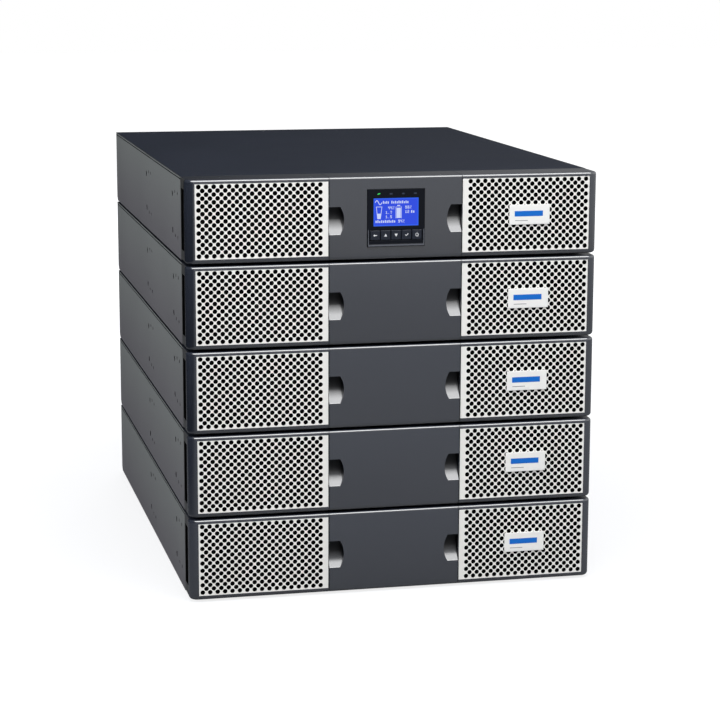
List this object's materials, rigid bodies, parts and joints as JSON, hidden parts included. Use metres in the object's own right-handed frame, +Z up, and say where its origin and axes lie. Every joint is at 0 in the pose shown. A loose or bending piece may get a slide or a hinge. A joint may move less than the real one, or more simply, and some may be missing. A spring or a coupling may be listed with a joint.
{
  "type": "online uninterruptible power supply",
  "caption": "Stack of rack-height power modules, the top one with a display and keys, behind perforated grilles in a moulded bezel.",
  "frame": {"origin": "bottom centre of the stack, on the floor under the lowest module's feet", "axes": "+X to the right across the front, +Y from the front to the rear, +Z up"},
  "size_m": [0.44, 0.6086, 0.4445],
  "materials": {
    "case_steel": "fine texture, satin",
    "cover_steel": "fine texture, satin",
    "bezel_plastic": "satin paint on moulded plastic",
    "grille_white": "satin",
    "badge_white": "smooth",
    "display_black": "satin",
    "screen_blue": "lit from behind",
    "indicator_green": "lit",
    "key_black": "satin",
    "socket_black": "moulded",
    "connector_grey": "moulded"
  },
  "bodies": {
    "stack": {"battery_1_chassis": "case_steel", "battery_1_top_cover": "cover_steel", "battery_1_rear_panel": "case_steel", "battery_1_bezel_ends": "bezel_plastic", "battery_1_grilles": "grille_white", "battery_1_centre_cover": "bezel_plastic", "battery_2_chassis": "case_steel", "battery_2_top_cover": "cover_steel", "battery_2_rear_panel": "case_steel", "battery_2_bezel_ends": "bezel_plastic", "battery_2_grilles": "grille_white", "battery_2_centre_cover": "bezel_plastic", "battery_3_chassis": "case_steel", "battery_3_top_cover": "cover_steel", "battery_3_rear_panel": "case_steel", "battery_3_bezel_ends": "bezel_plastic", "battery_3_grilles": "grille_white", "battery_3_centre_cover": "bezel_plastic", "battery_4_chassis": "case_steel", "battery_4_top_cover": "cover_steel", "battery_4_rear_panel": "case_steel", "battery_4_bezel_ends": "bezel_plastic", "battery_4_grilles": "grille_white", "battery_4_centre_cover": "bezel_plastic", "ups_chassis": "case_steel", "ups_top_cover": "cover_steel", "ups_rear_panel": "case_steel", "ups_bezel_ends": "bezel_plastic", "ups_grilles": "grille_white", "ups_centre_cover": "bezel_plastic", "badges": "badge_white", "display_housing": "display_black", "display_screen": "screen_blue", "indicator_lights": "indicator_green", "ups_outlets": "socket_black", "ups_inlet": "socket_black", "battery_connectors": "connector_grey", "ups_card_slot_cover": "case_steel", "ups_ports": "socket_black"},
    "key_back": {"key_back": "key_black"},
    "key_up": {"key_up": "key_black"},
    "key_down": {"key_down": "key_black"},
    "key_enter": {"key_enter": "key_black"},
    "key_power": {"key_power": "key_black"}
  },
  "joints": [
    {"name": "press_back", "type": "slide", "parent": "stack", "child": "key_back", "axis": [0, 1, 0], "range_m": [0, 0.001], "stiffness_N_per_m": 900},
    {"name": "press_up", "type": "slide", "parent": "stack", "child": "key_up", "axis": [0, 1, 0], "range_m": [0, 0.001], "stiffness_N_per_m": 900},
    {"name": "press_down", "type": "slide", "parent": "stack", "child": "key_down", "axis": [0, 1, 0], "range_m": [0, 0.001], "stiffness_N_per_m": 900},
    {"name": "press_enter", "type": "slide", "parent": "stack", "child": "key_enter", "axis": [0, 1, 0], "range_m": [0, 0.001], "stiffness_N_per_m": 900},
    {"name": "press_power", "type": "slide", "parent": "stack", "child": "key_power", "axis": [0, 1, 0], "range_m": [0, 0.001], "stiffness_N_per_m": 900}
  ]
}
